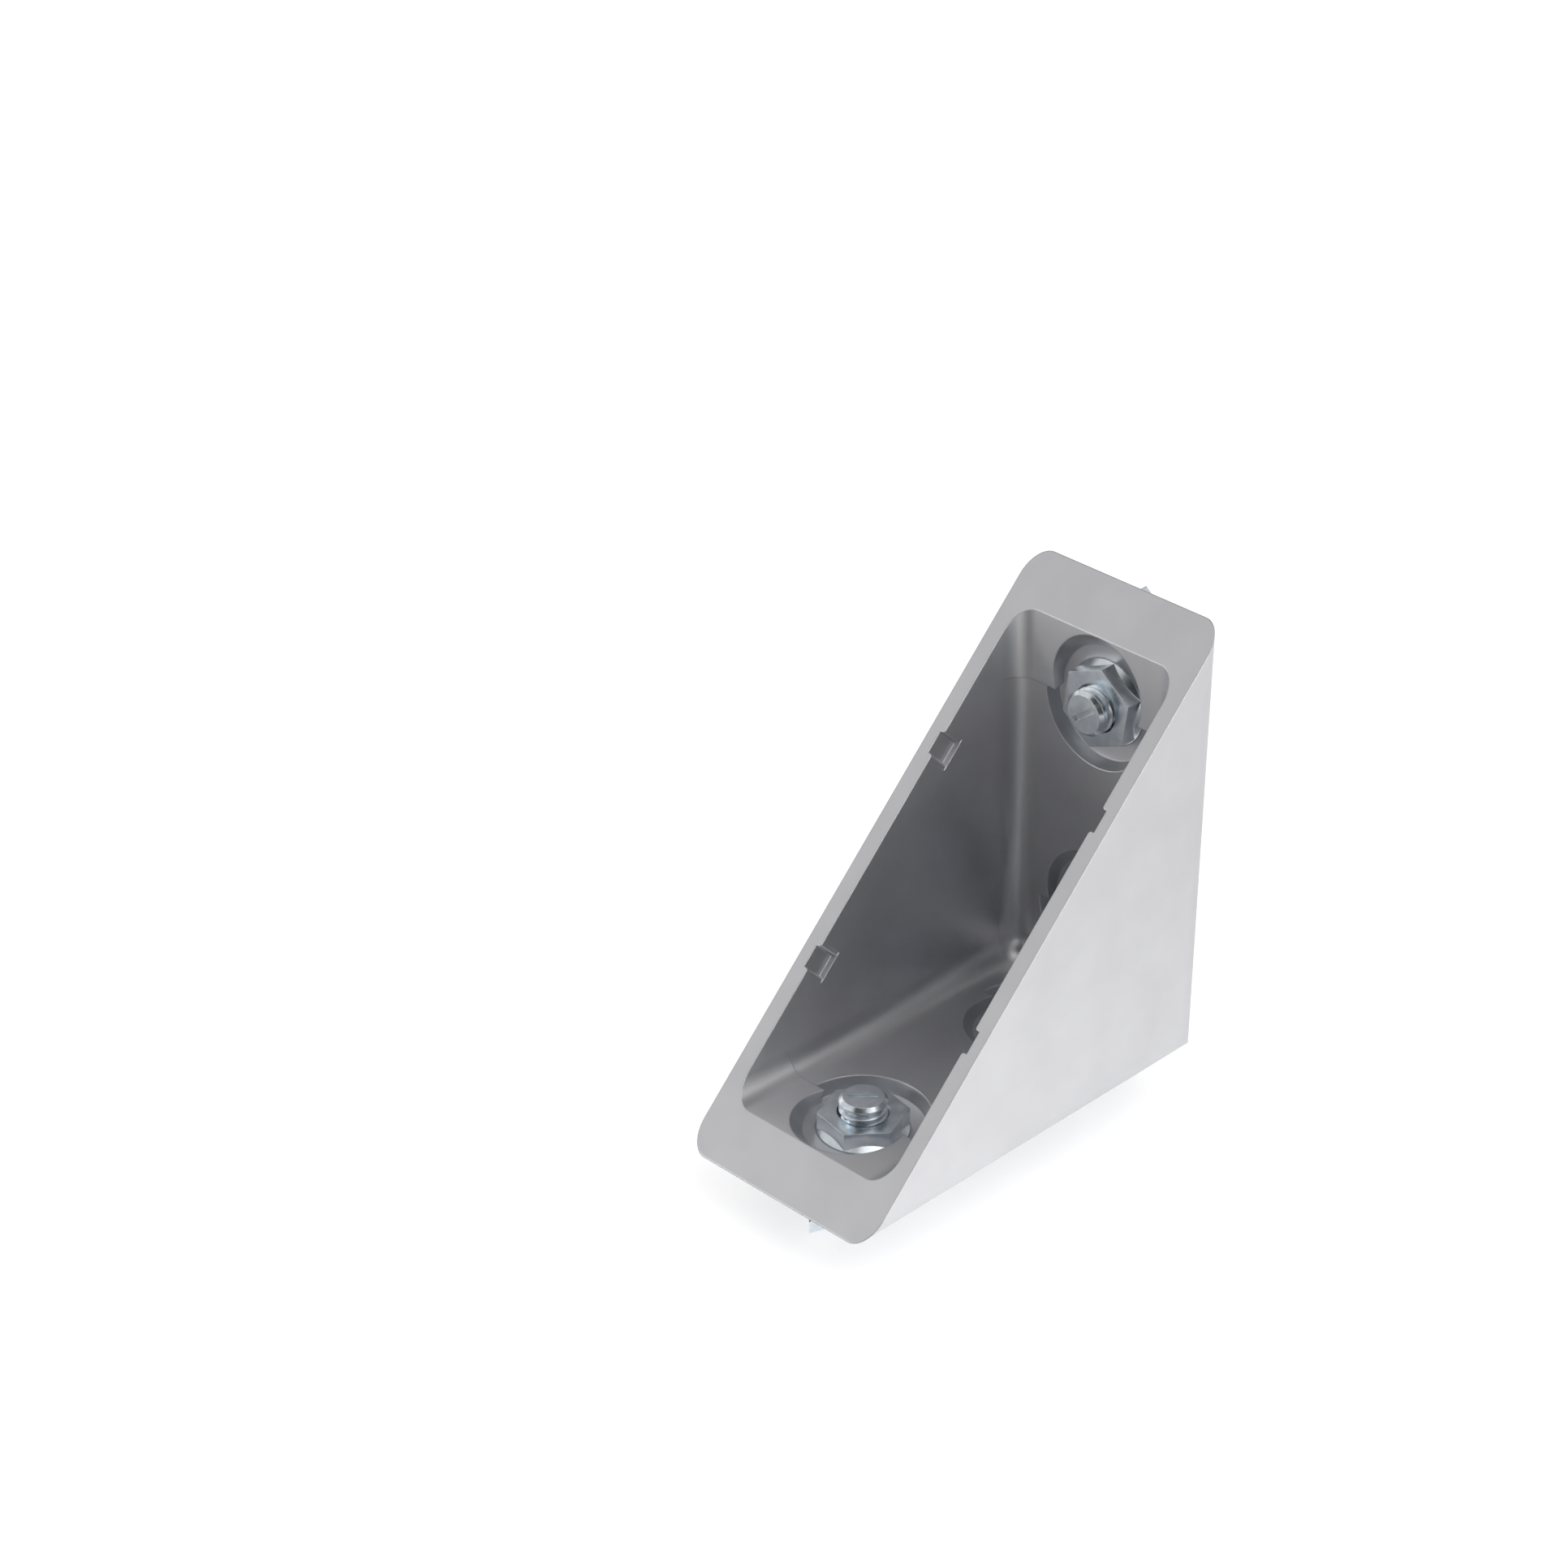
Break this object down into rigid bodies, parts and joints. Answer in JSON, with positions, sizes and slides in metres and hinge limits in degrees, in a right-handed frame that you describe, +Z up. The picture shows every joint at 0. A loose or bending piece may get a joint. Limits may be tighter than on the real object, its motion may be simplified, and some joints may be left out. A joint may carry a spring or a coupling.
{
  "type": "t slot corner bracket",
  "caption": "Die-cast corner bracket with side walls that joins two T-slot profiles at a right angle, held by T bolts with collar nuts and lined up by lugs and locating pins.",
  "frame": {"origin": "the heel, where the outer faces of the two legs meet, at mid width", "axes": "+X along the base leg to its toe, +Z up the back leg to its toe, +Y across the bracket; the base leg faces -Z and the back leg faces -X"},
  "size_m": [0.0897, 0.04, 0.0897],
  "materials": {
    "cast_aluminium": "satin, as die cast and tumbled",
    "zinc_plated_steel": "blue passivated zinc plating with a faint spangle",
    "dark_plastic": "dark grey moulded plastic"
  },
  "bodies": {
    "root": {"bracket_casting": "cast_aluminium", "collar_nut_base_inner": "zinc_plated_steel", "t_bolt_base_inner": "zinc_plated_steel", "locating_pin_base_inner": "dark_plastic", "collar_nut_base_outer": "zinc_plated_steel", "t_bolt_base_outer": "zinc_plated_steel", "locating_pin_base_outer": "dark_plastic", "collar_nut_back_inner": "zinc_plated_steel", "t_bolt_back_inner": "zinc_plated_steel", "locating_pin_back_inner": "dark_plastic", "collar_nut_back_outer": "zinc_plated_steel", "t_bolt_back_outer": "zinc_plated_steel", "locating_pin_back_outer": "dark_plastic"}
  },
  "joints": []
}
